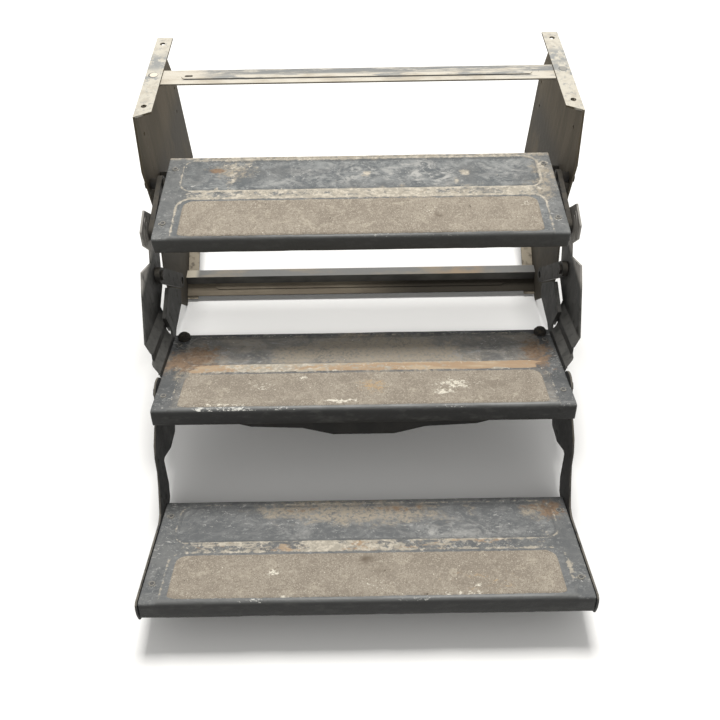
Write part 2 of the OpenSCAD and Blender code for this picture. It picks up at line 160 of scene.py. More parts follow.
class Finish:
    # A Principled finish built up in coats: each coat covers the last where its mask is 1. A mask is
    # a socket from 0 to 1 that reads Object coordinates, the object's own normal or a named attribute.

    def __init__(self, name, colour, rough=0.6, metal=0.0, gloss=0.4):
        self.mat = bpy.data.materials.new(name)
        self.mat.use_nodes = True
        self.tree = self.mat.node_tree
        self.face = self.tree.nodes["Principled BSDF"]
        self.face.inputs["Metallic"].default_value = metal
        self.face.inputs["Specular IOR Level"].default_value = gloss
        self.face.inputs["Roughness"].default_value = rough
        self.face.inputs["Base Color"].default_value = linear(colour)
        self.colour = linear(colour)
        self.rough = rough
        self.normal = None
        self.places = self.tree.nodes.new("ShaderNodeTexCoord")

    def link(self, a, b):
        self.tree.links.new(a, b)

    def sums(self, kind, a, b=None, c=None):
        node = self.tree.nodes.new("ShaderNodeMath")
        node.operation = kind
        node.use_clamp = kind in ("ADD", "MULTIPLY")
        for i, v in enumerate((a, b, c)):
            if v is None:
                continue
            if isinstance(v, (int, float)):
                node.inputs[i].default_value = v
            else:
                self.link(v, node.inputs[i])
        return node.outputs[0]

    def both(self, a, b):
        return self.sums("MULTIPLY", a, b)

    def either(self, a, b):
        return self.sums("MAXIMUM", a, b)

    def ramp(self, value, low, high, a=0.0, b=1.0):
        # eased from a at low to b at high
        node = self.tree.nodes.new("ShaderNodeMapRange")
        node.interpolation_type = "SMOOTHSTEP"
        self.link(value, node.inputs["Value"])
        node.inputs["From Min"].default_value = low
        node.inputs["From Max"].default_value = high
        node.inputs["To Min"].default_value = a
        node.inputs["To Max"].default_value = b
        return node.outputs[0]

    def spot(self, size, stretch=(1, 1, 1), shift=(0, 0, 0)):
        # Object coordinates scaled so that one unit of a pattern is the given size in metres
        node = self.tree.nodes.new("ShaderNodeMapping")
        node.inputs["Scale"].default_value = [s / size for s in stretch]
        node.inputs["Location"].default_value = shift
        self.link(self.places.outputs["Object"], node.inputs["Vector"])
        return node.outputs[0]

    def noise(self, size, stretch=(1, 1, 1), shift=(0, 0, 0), detail=5.0, broken=0.55, twist=0.0):
        node = self.tree.nodes.new("ShaderNodeTexNoise")
        node.inputs["Scale"].default_value = 1.0
        node.inputs["Detail"].default_value = detail
        node.inputs["Roughness"].default_value = broken
        node.inputs["Distortion"].default_value = twist
        self.link(self.spot(size, stretch, shift), node.inputs["Vector"])
        return node.outputs["Fac"]

    def cloud(self, size, low=0.4, high=0.6, stretch=(1, 1, 1), shift=(0, 0, 0),
              detail=5.0, broken=0.55, twist=0.0):
        # soft patches of about the given size in metres
        return self.ramp(self.noise(size, stretch, shift, detail, broken, twist), low, high)

    def spread(self, name, size, stretch=(1, 1, 1), shift=(0, 0, 0), soft=0.03, twist=0.6):
        # broken cover: noise + reach x attribute, kept where it passes the middle value
        reach, middle = 0.42, 0.68
        noise = self.noise(size, stretch, shift, 9.0, 0.7, twist)
        value = self.sums("MULTIPLY_ADD", self.marked(name), reach, noise)
        kept = self.ramp(value, middle - soft, middle + soft)
        return self.both(kept, self.ramp(self.marked(name), 0.04, 0.16))

    def cells(self, size, stretch=(1, 1, 1), shift=(0, 0, 0)):
        # two random values 0-1 for each cell, and the distance from its centre
        node = self.tree.nodes.new("ShaderNodeTexVoronoi")
        node.inputs["Scale"].default_value = 1.0
        self.link(self.spot(size, stretch, shift), node.inputs["Vector"])
        parts = self.tree.nodes.new("ShaderNodeSeparateColor")
        self.link(node.outputs["Color"], parts.inputs[0])
        return parts.outputs[0], parts.outputs[1], node.outputs["Distance"]

    def flecks(self, size, share, radius=0.35, stretch=(1, 1, 1), shift=(0, 0, 0)):
        # separate dots: a share of the cells keep a dot of the given radius
        value, _, away = self.cells(size, stretch, shift)
        kept = self.ramp(value, 1 - share, 1 - share + 0.01)
        return self.both(kept, self.ramp(away, radius * 0.6, radius, 1.0, 0.0))

    def marked(self, name):
        node = self.tree.nodes.new("ShaderNodeAttribute")
        node.attribute_name = name
        return node.outputs["Fac"]

    def ramped(self, kind, axis, low, high):
        parts = self.tree.nodes.new("ShaderNodeSeparateXYZ")
        self.link(self.places.outputs[kind], parts.inputs[0])
        return self.ramp(parts.outputs[axis], low, high)

    def facing(self, axis, low, high):
        # the object's own normal along an axis, so dust stays put when a body moves
        return self.ramped("Normal", axis, low, high)

    def along(self, axis, low, high):
        return self.ramped("Object", axis, low, high)

    def between(self, axis, low, high, soft=0.0004):
        after = self.along(axis, low - soft, low + soft)
        return self.both(after, self.along(axis, high + soft, high - soft))

    def disc(self, x, y, radius, soft=0.0006):
        # distance in the X-Y plane from a point to the surface
        away = self.tree.nodes.new("ShaderNodeVectorMath")
        away.operation = "DISTANCE"
        flat = self.tree.nodes.new("ShaderNodeMapping")
        flat.inputs["Scale"].default_value = (1, 1, 0)
        self.link(self.places.outputs["Object"], flat.inputs["Vector"])
        self.link(flat.outputs[0], away.inputs[0])
        away.inputs[1].default_value = (x, y, 0)
        return self.ramp(away.outputs["Value"], radius - soft, radius + soft, 1.0, 0.0)

    def coat(self, colour, mask, rough=None):
        mix = self.tree.nodes.new("ShaderNodeMix")
        mix.data_type = "RGBA"
        self.link(mask, mix.inputs[0])
        if isinstance(self.colour, tuple):
            mix.inputs[6].default_value = self.colour
        else:
            self.link(self.colour, mix.inputs[6])
        mix.inputs[7].default_value = linear(colour)
        self.colour = mix.outputs[2]
        self.link(self.colour, self.face.inputs["Base Color"])
        if rough is not None:
            turn = self.tree.nodes.new("ShaderNodeMix")
            self.link(mask, turn.inputs[0])
            if isinstance(self.rough, float):
                turn.inputs[2].default_value = self.rough
            else:
                self.link(self.rough, turn.inputs[2])
            turn.inputs[3].default_value = rough
            self.rough = turn.outputs[0]
            self.link(self.rough, self.face.inputs["Roughness"])
        return self

    def relief(self, height, depth, strength=1.0):
        node = self.tree.nodes.new("ShaderNodeBump")
        node.inputs["Strength"].default_value = strength
        node.inputs["Distance"].default_value = depth
        self.link(height, node.inputs["Height"])
        if self.normal is not None:
            self.link(self.normal, node.inputs["Normal"])
        self.normal = node.outputs[0]
        self.link(self.normal, self.face.inputs["Normal"])
        return self


# lip: each tread's dark front paint, which also carries painted shade
treadColours = {
    "top": {
        "paint": (116, 117, 116), "deep": (94, 96, 96), "field": (86, 90, 92),
        "fieldLight": (136, 138, 137), "lip": (52, 52, 50),
    },
    "middle": {
        "paint": (96, 97, 97), "deep": (78, 80, 81), "field": (117, 115, 111),
        "fieldLight": (152, 146, 136), "lip": (38, 38, 37),
    },
    "bottom": {
        "paint": (112, 113, 112), "deep": (92, 94, 95), "field": (98, 100, 101),
        "fieldLight": (128, 129, 128), "lip": (46, 46, 45),
    },
    "scuff": (146, 147, 145),
    "bright": (172, 171, 167),
    "dust": (166, 159, 146),
    "paleDust": (198, 190, 175),
    "rust": (135, 114, 94),
    "deepRust": (116, 99, 84),
    "bandRust": (166, 142, 116),
    "paleRust": (182, 163, 138),
    "tan": (158, 149, 134),
    "shade": (78, 80, 81),
    "nose": (102, 103, 102),
    "glint": (150, 151, 150),
    "lipWear": (62, 62, 60),
    "chip": (212, 211, 204),
    "under": (58, 58, 56),
    "underDust": (84, 79, 71),
}


def treadPaint(name, c, own, shift):
    # scuffed paint, the rubbed pressed field, then dirt, rust and wear where the skin is marked for them;
    # painted shade in the groove, on the lip and underneath, painted light on the nose
    f = Finish(name, own["paint"], rough=0.68, gloss=0.3)
    near = (shift[0] + 4, 1, 1)  # the same noise at other places
    far = (shift[0] + 2, 5, 1)

    f.coat(own["deep"], f.cloud(0.024, 0.40, 0.60, shift=shift, detail=10.0, broken=0.75, twist=0.5))
    scuffs = f.cloud(0.007, 0.50, 0.66, (0.8, 1, 1), shift, 10.0, 0.8, 0.8)
    f.coat(c["scuff"], f.both(scuffs, f.cloud(0.05, 0.36, 0.60, shift=shift)))

    f.coat(own["field"], f.marked("field"), rough=0.62)
    sweeps = f.cloud(0.030, 0.42, 0.62, (0.75, 1, 1), shift, 12.0, 0.78, 0.9)
    f.coat(own["fieldLight"], f.both(f.marked("field"), sweeps), rough=0.72)
    scuffs = f.cloud(0.012, 0.53, 0.63, (0.7, 1.2, 1), far, 12.0, 0.8, 1.0)
    f.coat(c["scuff"], f.both(f.marked("field"), scuffs))
    curls = f.cloud(0.024, 0.46, 0.62, (0.7, 1, 1), (shift[0], 3, 3), 12.0, 0.72, 1.6)
    f.coat(c["bright"], f.both(f.marked("swirl"), curls), rough=0.8)
    blots = f.cloud(0.018, 0.36, 0.56, (0.7, 1, 1), shift, 10.0, 0.7, 0.8)
    f.coat(own["deep"], f.both(f.marked("dark"), blots), rough=0.6)
    curls = f.cloud(0.0050, 0.57, 0.66, (0.7, 1.2, 1), shift, 6.0, 0.7, 1.0)
    f.coat(c["bright"], f.both(curls, f.cloud(0.040, 0.38, 0.56, shift=shift)), rough=0.75)

    grain = f.cloud(0.005, 0.36, 0.56, shift=shift, broken=0.75)
    f.coat(c["tan"], f.both(f.spread("film", 0.018, (0.8, 1, 1), shift, 0.11, 0.5), grain), rough=0.85)
    grain = f.cloud(0.005, 0.28, 0.50, shift=shift, broken=0.75)
    f.coat(c["rust"], f.both(f.spread("rust", 0.012, (0.8, 1, 1), shift, 0.10, 0.5), grain), rough=0.9)
    grain = f.cloud(0.006, 0.46, 0.64)
    f.coat(c["deepRust"], f.both(f.spread("rust", 0.007, (0.8, 1, 1), near, 0.08), grain), rough=0.9)
    f.coat(c["bandRust"], f.spread("bandRust", 0.016, (0.4, 1, 1), shift, 0.05, 0.5), rough=0.9)
    streaks = f.cloud(0.018, 0.44, 0.66, (0.25, 1.4, 1), shift, 7.0)
    f.coat(c["paleRust"], f.both(f.spread("bandRust", 0.016, (0.4, 1, 1), shift), streaks), rough=0.9)
    f.coat(c["dust"], f.spread("dust", 0.009, (0.75, 1, 1), shift, 0.07, 0.4), rough=0.9)
    grain = f.cloud(0.006, 0.45, 0.60, (0.8, 1, 1), shift, 7.0, 0.7)
    f.coat(c["paleDust"], f.both(f.spread("dust", 0.007, (0.8, 1, 1), shift, 0.05, 0.4), grain), rough=0.9)

    # painted shade along the inside of the rear field's edge, in the groove
    f.coat(c["shade"], f.both(f.marked("groove"), f.cloud(0.02, 0.35, 0.6, (0.5, 1, 1), shift)), rough=0.7)
    f.coat(c["paleDust"], f.flecks(0.012, 0.10, 0.10, shift=shift), rough=0.9)
    # painted light band down the rounded nose, between the top and the dark lip
    f.coat(c["nose"], f.both(f.marked("shine"), f.cloud(0.02, 0.10, 0.45, (0.2, 1, 1), shift)), rough=0.5)
    # the glint is a painted highlight along the worn crest of the nose, broken into patches
    worn = f.cloud(0.012, 0.34, 0.56, (0.12, 1, 1), shift, 4.0)
    f.coat(c["glint"], f.both(f.marked("glint"), worn), rough=0.45)
    # the lip's dark paint, ramped in as painted shade where the nose rounds down
    f.coat(own["lip"], f.marked("lip"), rough=0.55)
    worn = f.cloud(0.010, 0.50, 0.72, (0.4, 1, 1), shift, 7.0)
    f.coat(c["lipWear"], f.both(f.marked("lip"), worn), rough=0.65)
    f.coat(c["chip"], f.spread("chips", 0.0035, (0.6, 1, 1), shift, 0.05), rough=0.7)

    # painted shade on the faces that look down, with dust patches on it
    under = f.facing(2, -0.2, -0.5)
    f.coat(c["under"], under, rough=0.7)
    patches = f.cloud(0.03, 0.42, 0.66, (0.6, 1, 1), shift, 8.0, 0.6, 0.5)
    f.coat(c["underDust"], f.both(under, patches), rough=0.9)
    f.relief(f.cloud(0.014, 0.2, 0.8, shift=shift, detail=9.0), 0.0007)
    f.relief(f.cloud(0.0022, 0.2, 0.8, shift=shift, detail=3.0), 0.00018)
    return f.mat


gritColours = {
    "base": (158, 149, 136),
    "patch": (143, 134, 122),
    "palePatch": (174, 165, 150),
    "mottle": (136, 126, 114),
    "paleMottle": (178, 170, 156),
    "darkGrain": (130, 121, 109),
    "paleGrain": (184, 176, 161),
    "pit": (102, 94, 84),
    "speck": (222, 215, 199),
    "chalk": (222, 216, 201),
    "stain": (114, 104, 92),
    "warm": (178, 154, 122),
}


def gritSurface(name, c, shift):
    # grains in patches of two tones, with pits and specks, then chalk, stains and warm dirt where marked
    f = Finish(name, c["base"], rough=0.95, gloss=0.1)
    x = shift[0]
    f.coat(c["patch"], f.cloud(0.045, 0.42, 0.58, shift=shift, detail=9.0, broken=0.7, twist=0.6))
    f.coat(c["palePatch"], f.cloud(0.020, 0.53, 0.64, (0.9, 1, 1), (x + 3, 1, 2), 9.0, 0.72, 0.8))
    f.coat(c["mottle"], f.cloud(0.0045, 0.52, 0.64, shift=shift, detail=6.0, broken=0.75))
    f.coat(c["paleMottle"], f.cloud(0.0036, 0.54, 0.66, shift=(x + 8, 3, 1), detail=5.0, broken=0.75))
    _, value, away = f.cells(0.0010, shift=shift)
    f.coat(c["darkGrain"], f.ramp(value, 0.80, 1.0))
    f.coat(c["paleGrain"], f.ramp(value, 0.16, 0.0))
    f.coat(c["pit"], f.flecks(0.011, 0.10, 0.15, shift=shift))
    f.coat(c["speck"], f.flecks(0.0075, 0.14, 0.13, shift=(x + 5, 2, 4)))
    f.coat(c["chalk"], f.spread("chalk", 0.0045, (0.7, 1, 1), shift, 0.04, 0.8))
    f.coat(c["stain"], f.both(f.marked("stain"), f.cloud(0.02, 0.3, 0.6, shift=shift)))
    grain = f.cloud(0.003, 0.40, 0.60, shift=shift)
    f.coat(c["warm"], f.both(f.spread("warm", 0.008, (0.7, 1, 1), shift, 0.06), grain))
    f.relief(away, 0.0004, 0.8)
    f.relief(f.cloud(0.0016, 0.3, 0.7, shift=shift), 0.0003, 0.8)
    return f.mat


# surfaces

def quadsOf(rows, columns, closed=False):
    # each quad joins (i, j), (i, j+1), (i+1, j+1), (i+1, j); a closed grid's last column joins its first
    i, j = np.meshgrid(np.arange(rows - 1), np.arange(columns if closed else columns - 1), indexing="ij")
    j2 = (j + 1) % columns
    quads = [i * columns + j, i * columns + j2, (i + 1) * columns + j2, (i + 1) * columns + j]
    return np.stack(quads, -1).reshape(-1, 4)


def meshOf(name, points, faces, smooth=True):
    mesh = bpy.data.meshes.new(name)
    mesh.vertices.add(len(points))
    mesh.vertices.foreach_set("co", np.ascontiguousarray(points, np.float32).ravel())
    size = faces.shape[1]
    mesh.loops.add(faces.size)
    mesh.loops.foreach_set("vertex_index", faces.astype(np.int32).ravel())
    mesh.polygons.add(len(faces))
    mesh.polygons.foreach_set("loop_start", np.arange(0, faces.size, size, dtype=np.int32))
    mesh.polygons.foreach_set("use_smooth", np.full(len(faces), smooth))
    mesh.update(calc_edges=True)
    mesh.validate()
    piece = bpy.data.objects.new(name, mesh)
    bpy.context.scene.collection.objects.link(piece)
    return piece


def openSurface(name, points):
    # points is a rows x columns x 3 grid
    rows, columns = points.shape[:2]
    return meshOf(name, points.reshape(-1, 3), quadsOf(rows, columns))


def closedGrids(name, grids, smooth=True):
    # several grids in one mesh, the last column of each joined to its first
    points, faces, start = [], [], 0
    for grid in grids:
        rows, columns = grid.shape[:2]
        points.append(grid.reshape(-1, 3))
        faces.append(quadsOf(rows, columns, closed=True) + start)
        start += rows * columns
    return meshOf(name, np.concatenate(points), np.concatenate(faces), smooth)


def mark(piece, name, values):
    layer = piece.data.attributes.new(name, "FLOAT", "POINT")
    layer.data.foreach_set("value", np.clip(values, 0, 1).astype(np.float32).ravel())


def ease(x, low, high):
    # 0 at low to 1 at high, as 3 t^2 - 2 t^3
    t = np.clip((x - low) / (high - low), 0, 1)
    return t * t * (3 - 2 * t)


def hump(x, middle, width):
    # 1 at the middle, falling off as exp(-((x - middle) / width)^2)
    return np.exp(-((x - middle) / width) ** 2)


def cornered(x, a, halfWidth, a0, a1, radius):
    # signed distance to a rounded rectangle: length of the part outside, less the radius
    qx = np.abs(x) - halfWidth + radius
    qa = np.abs(a - (a0 + a1) / 2) - (a1 - a0) / 2 + radius
    return np.hypot(np.maximum(qx, 0), np.maximum(qa, 0)) + np.minimum(np.maximum(qx, qa), 0) - radius


def wavy(x, y, size, seed):
    # smooth noise from -1 to 1: a random lattice of the given spacing, blended with eased weights
    side = 64
    lattice = np.random.default_rng(seed).uniform(-1, 1, (side, side))
    u, v = np.asarray(x) / size + 31.3, np.asarray(y) / size + 31.7
    i, j = np.floor(u).astype(int), np.floor(v).astype(int)
    fu, fv = u - i, v - j
    fu, fv = fu * fu * (3 - 2 * fu), fv * fv * (3 - 2 * fv)
    i, j, i2, j2 = i % side, j % side, (i + 1) % side, (j + 1) % side
    top = lattice[i, j] * (1 - fu) + lattice[i2, j] * fu
    low = lattice[i, j2] * (1 - fu) + lattice[i2, j2] * fu
    return top * (1 - fv) + low * fv


def blot(x, a, spots):
    # sum of soft ellipses (centre x, centre a, half length, half depth, strength)
    total = np.zeros_like(x)
    for cx, ca, hx, ha, k in spots:
        total += k * np.exp(-(((x - cx) / hx) ** 2 + ((a - ca) / ha) ** 2))
    return total


def onStep(step, x, a, u):
    # from a tread's own depth a and height u to the frame, turned about X by its tilt
    t = math.radians(step["tilt"])
    y0, z0 = step["nose"]
    return np.stack([x, y0 + a * math.cos(t) + u * math.sin(t), z0 - a * math.sin(t) + u * math.cos(t)], -1)


tread = {
    "halfWidth": 0.305, "depth": 0.199, "lip": 0.026, "foot": 0.009,
    "noseRadius": 0.010, "heelRadius": 0.004, "endRadius": 0.004,
    "sheet": 0.0025, "pressed": 0.0012, "draft": 0.0045,
    "rearField": (0.2800, 0.1125, 0.1880, 0.019),  # half width, start, end, corner radius
    "gripField": (0.279, -0.060, 0.091, 0.019),
    "fieldShift": 0.0015,
    "bandStart": 0.092, "bandEnd": 0.1115,
    "grip": (0.269, 0.088, 0.017),  # half width, end, corner radius
    "gripTop": 0.0002,
    "groove": (-0.0030, 0.0016, 0.0006),  # place inside the rear field's edge, width, depth
    "waves": (0.06, 0.00028),  # size and height
    "dents": (0.03, 0.0006),
    "endRound": (0.0014, 0.0010),  # width and drop of the rounded ends
    "endInset": 0.0020,  # of the end plates under the skin
    "columns": 316,
    "rivetPlaces": ((-0.2925, 0.036), (0.2925, 0.036), (-0.2925, 0.167), (0.2925, 0.167)),
    "rivetRadius": 0.0045,
    "rivetSides": 28,
}

steps = {
    "top": {"nose": (-0.008915, 0.332485), "tilt": 0.0, "seed": 11, "gripStart": 0.0082},
    "middle": {"nose": (-0.210915, 0.188485), "tilt": 14.9, "seed": 23, "gripStart": 0.0102},
    "bottom": {"nose": (-0.452915, 0.087485), "tilt": 18.4, "seed": 37, "gripStart": 0.0102},
}


def treadPath(t):
    # front lip up, round the nose, along the top, over the heel and down, as (a, u) and outward normal
    r, h, d, low = t["noseRadius"], t["heelRadius"], t["depth"], -t["lip"]
    rise = np.linspace(low, -r, 9)[:-1]
    turn = np.radians(np.linspace(180, 90, 11))
    flat = np.linspace(r, d - h, 96)[1:-1]
    over = np.radians(np.linspace(90, 0, 7))
    fall = np.linspace(-h, low, 7)[1:]
    a = np.concatenate([0 * rise, r + r * np.cos(turn), flat, d - h + h * np.cos(over), 0 * fall + d])
    u = np.concatenate([rise, -r + r * np.sin(turn), 0 * flat, -h + h * np.sin(over), fall])
    na = np.concatenate([0 * rise - 1, np.cos(turn), 0 * flat, np.cos(over), 0 * fall + 1])
    nu = np.concatenate([0 * rise, np.sin(turn), 0 * flat + 1, np.sin(over), 0 * fall])
    return a, u, na, nu


def treadGrid(t):
    # the path's places and normals repeated along X, with the depth of both pressed fields from 0 to 1
    a, u, na, nu = treadPath(t)
    half, draft = t["halfWidth"], t["draft"]
    middle = np.linspace(0.003 - half, half - 0.003, t["columns"])
    x = np.concatenate([[-half, 0.0012 - half], middle, [half - 0.0012, half]])
    g = {"row": x}
    g["a"], g["x"] = np.meshgrid(a, x, indexing="ij")
    g["u"], g["na"], g["nu"] = (np.repeat(v[:, None], len(x), 1) for v in (u, na, nu))
    g["onTop"] = ease(g["u"], -0.0035, 0.0)
    g["rear"] = cornered(g["x"] - t["fieldShift"], g["a"], *t["rearField"])
    g["front"] = cornered(g["x"] - t["fieldShift"], g["a"], *t["gripField"])
    g["sunkRear"] = ease(-g["rear"], -draft * 0.3, draft * 0.7) * g["onTop"]
    sunkFront = ease(-g["front"], -draft * 0.3, draft * 0.7) * ease(g["u"], -0.020, -0.009)
    g["sunkFront"] = sunkFront * ease(-g["a"], -0.15, -0.12)
    return g


def pressTread(name, step, t, g):
    # path + normal x (lift + fill); the lift holds pressed fields, groove, waves and dents,
    # the fill squares the nose's ends
    x, a, u, half, seed = g["x"], g["a"], g["u"], t["halfWidth"], step["seed"]
    waveSize, waveHeight = t["waves"]
    dentSize, dentDepth = t["dents"]
    roundWidth, roundDrop = t["endRound"]
    grooveAt, grooveWidth, grooveDepth = t["groove"]
    lift = -t["pressed"] * np.maximum(g["sunkRear"], g["sunkFront"])
    lift -= grooveDepth * hump(g["rear"], grooveAt, grooveWidth) * g["onTop"]
    lift += waveHeight * wavy(x, a, waveSize, seed) * ease(half - np.abs(x), 0, 0.02) - waveHeight
    lift -= dentDepth * ease(0.5 + 0.5 * wavy(x, a + u, dentSize, seed + 1), 0.55, 1.0) * (1 - g["onTop"])
    lift -= roundDrop * ease(np.abs(x), half - roundWidth, half)
    square = ease(np.abs(x), 0.279, 0.284) * (a < 0.05)
    reach = np.maximum(1, 1 / np.maximum(np.maximum(-g["na"], g["nu"]), 0.7) ** 0.72)
    fill = square * (reach - 1) * (t["noseRadius"] - t["endRadius"]) * (u > -t["noseRadius"])
    piece = openSurface(name, onStep(step, x, a + g["na"] * (lift + fill), u + g["nu"] * (lift + fill)))
    wall = piece.modifiers.new("sheet", "SOLIDIFY")
    wall.thickness = t["sheet"]
    wall.offset = -1
    wall.use_even_offset = False
    return piece


def markTread(piece, step, t, g, marks):
    # attributes from 0 to 1 that the paint reads: where dust, rust, wear and the dark lips are, and where
    # shade and highlights are painted
    x, a, u, onTop = g["x"], g["a"], g["u"], g["onTop"]
    rivetAway = np.full_like(x, 1.0)
    for rx, ra in t["rivetPlaces"]:
        rivetAway = np.minimum(rivetAway, np.hypot(x - rx, a - ra))
    edge = np.minimum(np.abs(g["rear"] - 0.0010), np.abs(g["front"] - 0.0010))
    outline = hump(edge, 0, 0.0017) * (0.95 + 0.30 * wavy(x, a, 0.05, step["seed"] + 3))
    band = ease(a, t["bandStart"] - 0.001, t["bandStart"] + 0.001)
    band *= ease(-a, -t["bandEnd"] - 0.001, 0.001 - t["bandEnd"]) * ease(-np.abs(x), -0.282, -0.25)
    along = np.interp(g["row"], *marks["bandAlong"])[None, :]
    dust = outline * marks["outline"] + band * marks["band"] * along
    dust += 0.8 * hump(rivetAway, 0.0058, 0.0012) * marks["rings"]
    dust += ease(a, 0.186, 0.196) * marks["heelDust"] + blot(x, a, marks["dust"])
    mark(piece, "dust", dust * onTop)
    mark(piece, "film", blot(x, a, marks["film"]) * onTop)
    mark(piece, "rust", blot(x, a, marks["rust"]) * onTop)
    along = np.interp(g["row"], *marks["rustAlong"])[None, :]
    mark(piece, "bandRust", band * marks["bandRust"] * along * onTop)
    mark(piece, "field", np.maximum(g["sunkRear"], g["sunkFront"] * 0.6) * onTop)
    mark(piece, "swirl", g["sunkRear"] * blot(x, a, marks["swirl"]))
    mark(piece, "dark", onTop * blot(x, a, marks["dark"]))
    # groove: where shade is painted inside the rear field's edge
    mark(piece, "groove", hump(g["rear"], -0.0028, 0.0016) * marks["groove"] * onTop)
    nose = ease(-a, -0.0100, -0.0080) * ease(t["halfWidth"] - np.abs(x), 0.020, 0.026)
    # shine: where the painted light band over the rounded nose goes
    mark(piece, "shine", nose)
    # glint: painted highlight along the worn crest just ahead of the grit
    crest = hump(a, step["gripStart"] - 0.0026, 0.0011) * (u > -0.003)
    mark(piece, "glint", crest * np.interp(g["row"], *marks["glint"])[None, :])
    # lip: dark front paint, with painted shade ramped in down the rounded nose
    mark(piece, "lip", ease(-u, 0.0006 + 0.0014 * (np.abs(x) > 0.281), 0.0050) ** 0.7)
    mark(piece, "chips", nose * (u > -0.004) * blot(x, 0 * a, marks["chips"]))


def prism(sections):
    # rows of closed sections joined in turn, with a row drawn to each end section's middle to close it
    ends = [np.repeat(sections[i].mean(0)[None], sections.shape[1], 0)[None] for i in (0, -1)]
    return np.concatenate([ends[0], sections, ends[1]])


def treadEnds(name, step, t):
    # end plates: a sheet-thick rectangle carried from nose to heel under the tread's outline;
    # foot: a flat rectangle along the lower edge of the front lip, carried from end to end
    inset, r, h, d = t["endInset"], t["noseRadius"], t["heelRadius"], t["depth"]
    gap, sheet = 0.0003, t["sheet"]
    low = gap - t["lip"]
    turn, over = np.radians(np.linspace(180, 90, 9)), np.radians(np.linspace(90, 0, 7))
    flat = np.linspace(r, d - h, 12)[1:-1]
    a = np.concatenate([r + (r - inset) * np.cos(turn), flat, d - h + (h - inset) * np.cos(over)])
    top = np.concatenate([(r - inset) * np.sin(turn) - r, 0 * flat - inset, (h - inset) * np.sin(over) - h])
    bottom = np.full_like(a, low)
    grids = []
    for side in (-1, 1):
        outer = side * (t["halfWidth"] - gap)
        inner = outer - side * sheet
        corners = [(outer, bottom), (outer, top), (inner, top), (inner, bottom)]
        grids.append(prism(np.stack([onStep(step, np.full_like(a, x), a, u) for x, u in corners], 1)))
    x = np.linspace(0.001 - t["halfWidth"], t["halfWidth"] - 0.001, 3)
    front, back = 0.0021, t["foot"]
    corners = [(front, low), (back, low), (back, low + sheet), (front, low + sheet)]
    foot = [onStep(step, x, np.full_like(x, ca), np.full_like(x, cu)) for ca, cu in corners]
    grids.append(prism(np.stack(foot, 1)))
    piece = closedGrids(name, grids, smooth=False)
    work = bmesh.new()
    work.from_mesh(piece.data)
    bmesh.ops.remove_doubles(work, verts=work.verts, dist=0.00001)
    bmesh.ops.recalc_face_normals(work, faces=work.faces)
    work.to_mesh(piece.data)
    work.free()
    # the end plates take the lip's dark paint and painted shade all over
    mark(piece, "lip", np.full(len(piece.data.vertices), 1.0))
    return piece


def gripPad(name, step, t, marks):
    # columns along X, each blended from the ragged front edge to the back edge, which rounds off
    # at the ends; the height is a plateau that eases down to the recess at the edges
    half, a1, r = t["grip"]
    seed, pressed = step["seed"], t["pressed"]
    x = np.linspace(-half, half, 300)
    v = np.linspace(0, 1, 44)
    inset = np.where(np.abs(x) > half - r, r - np.sqrt(np.maximum(r * r - (np.abs(x) - half + r) ** 2, 0)), 0)
    back = a1 - inset + 0.0007 * wavy(x, 0 * x, 0.006, seed + 5)
    front = step["gripStart"] + 0.3 * inset + 0.0006 * wavy(x, 0 * x + 3, 0.005, seed + 6)
    vv, xx = np.meshgrid(v, x, indexing="ij")
    a = front[None, :] * (1 - vv) + back[None, :] * vv
    edge = np.minimum(np.minimum(a - front[None, :], back[None, :] - a), half - np.abs(xx))
    u = -pressed - 0.0004 + (pressed + t["gripTop"] + 0.0003) * ease(edge, -0.0002, 0.0016)
    u += 0.00012 * wavy(xx, a, 0.004, seed + 7) * ease(edge, 0, 0.003)
    piece = openSurface(name, onStep(step, xx, a, u))
    for kind in ("chalk", "stain", "warm"):
        mark(piece, kind, blot(xx, a, marks[kind]))
    return piece


def turned(profile, sides, centre, axis, side):
    # profile of (radius, height) carried round an axis:
    # p = centre + r cos w side + r sin w (axis x side) + h axis
    w = np.linspace(0, 2 * np.pi, sides, endpoint=False)
    axis, side = np.array(axis, float), np.array(side, float)
    spin = np.cos(w)[:, None] * side + np.sin(w)[:, None] * np.cross(axis, side)
    return np.array(centre) + profile[:, 0, None, None] * spin[None] + profile[:, 1, None, None] * axis


def rivetHeads(name, step, t):
    # ring-shaped head: a rolled rim round a dished middle; each row is (share of the radius, height, rim)
    rows = np.array([
        (1.0, -0.0004, 0.1), (1.0, 0.0002, 0.4), (0.93, 0.0008, 0.8), (0.76, 0.00115, 0.7),
        (0.58, 0.0010, 0.3), (0.46, 0.0004, 0.0), (0.38, 0.0001, 0.0), (0.20, 0.0, 0.0), (0.002, 0.0, 0.0),
    ])
    sides, places = t["rivetSides"], t["rivetPlaces"]
    profile = np.stack([rows[:, 0] * t["rivetRadius"], rows[:, 1]], 1)
    tilt = math.radians(step["tilt"])
    up = np.array([0, math.sin(tilt), math.cos(tilt)])
    centres = [onStep(step, np.array(x), np.array(a), np.array(0.0)) for x, a in places]
    piece = closedGrids(name, [turned(profile, sides, centre, up, (1, 0, 0)) for centre in centres])
    mark(piece, "rim", np.tile(np.repeat(rows[:, 2], sides), len(places)))
    return piece


def dress(piece, body, slot, finish, *nodes):
    # finish and body of a piece, and the CAD nodes that it takes the place of; slot is not used
    piece.data.materials.clear()
    piece.data.materials.append(finish)
    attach(piece, body)
    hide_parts(*nodes)


